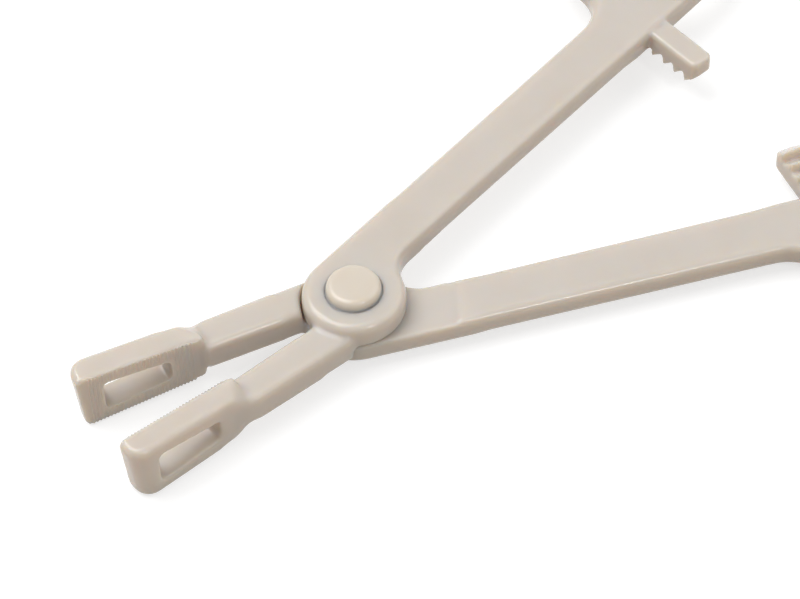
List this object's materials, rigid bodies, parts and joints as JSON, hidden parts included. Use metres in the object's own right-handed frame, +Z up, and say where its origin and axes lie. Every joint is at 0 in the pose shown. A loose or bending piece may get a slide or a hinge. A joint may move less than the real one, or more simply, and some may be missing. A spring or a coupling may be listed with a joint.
{
  "type": "ratchet forceps",
  "caption": "Ring-handled moulded plastic ratchet forceps: crossed levers on a headed pivot pin, with slotted, serrated jaws and facing sawtooth ratchet arms.",
  "frame": {"origin": "on the pivot axis, on the flat end of the pin's lower head, which is the lowest point of the tool lying flat", "axes": "+Z up along the pivot axis, +X from the pivot towards the finger rings, jaws towards -X, upper lever's ring on +Y"},
  "size_m": [0.159, 0.1252, 0.0127],
  "materials": {
    "lever_plastic": "moulded gloss, ivory",
    "pin_plastic": "moulded gloss, cream"
  },
  "bodies": {
    "lower": {"lower_lever": "lever_plastic", "pivot_pin": "pin_plastic"},
    "upper": {"upper_lever": "lever_plastic"}
  },
  "joints": [
    {"name": "pivot_hinge", "type": "hinge", "parent": "lower", "child": "upper", "pos_m": [0, 0, 0.00635], "axis": [0, 0, 1], "range_deg": [-16, 24]}
  ]
}
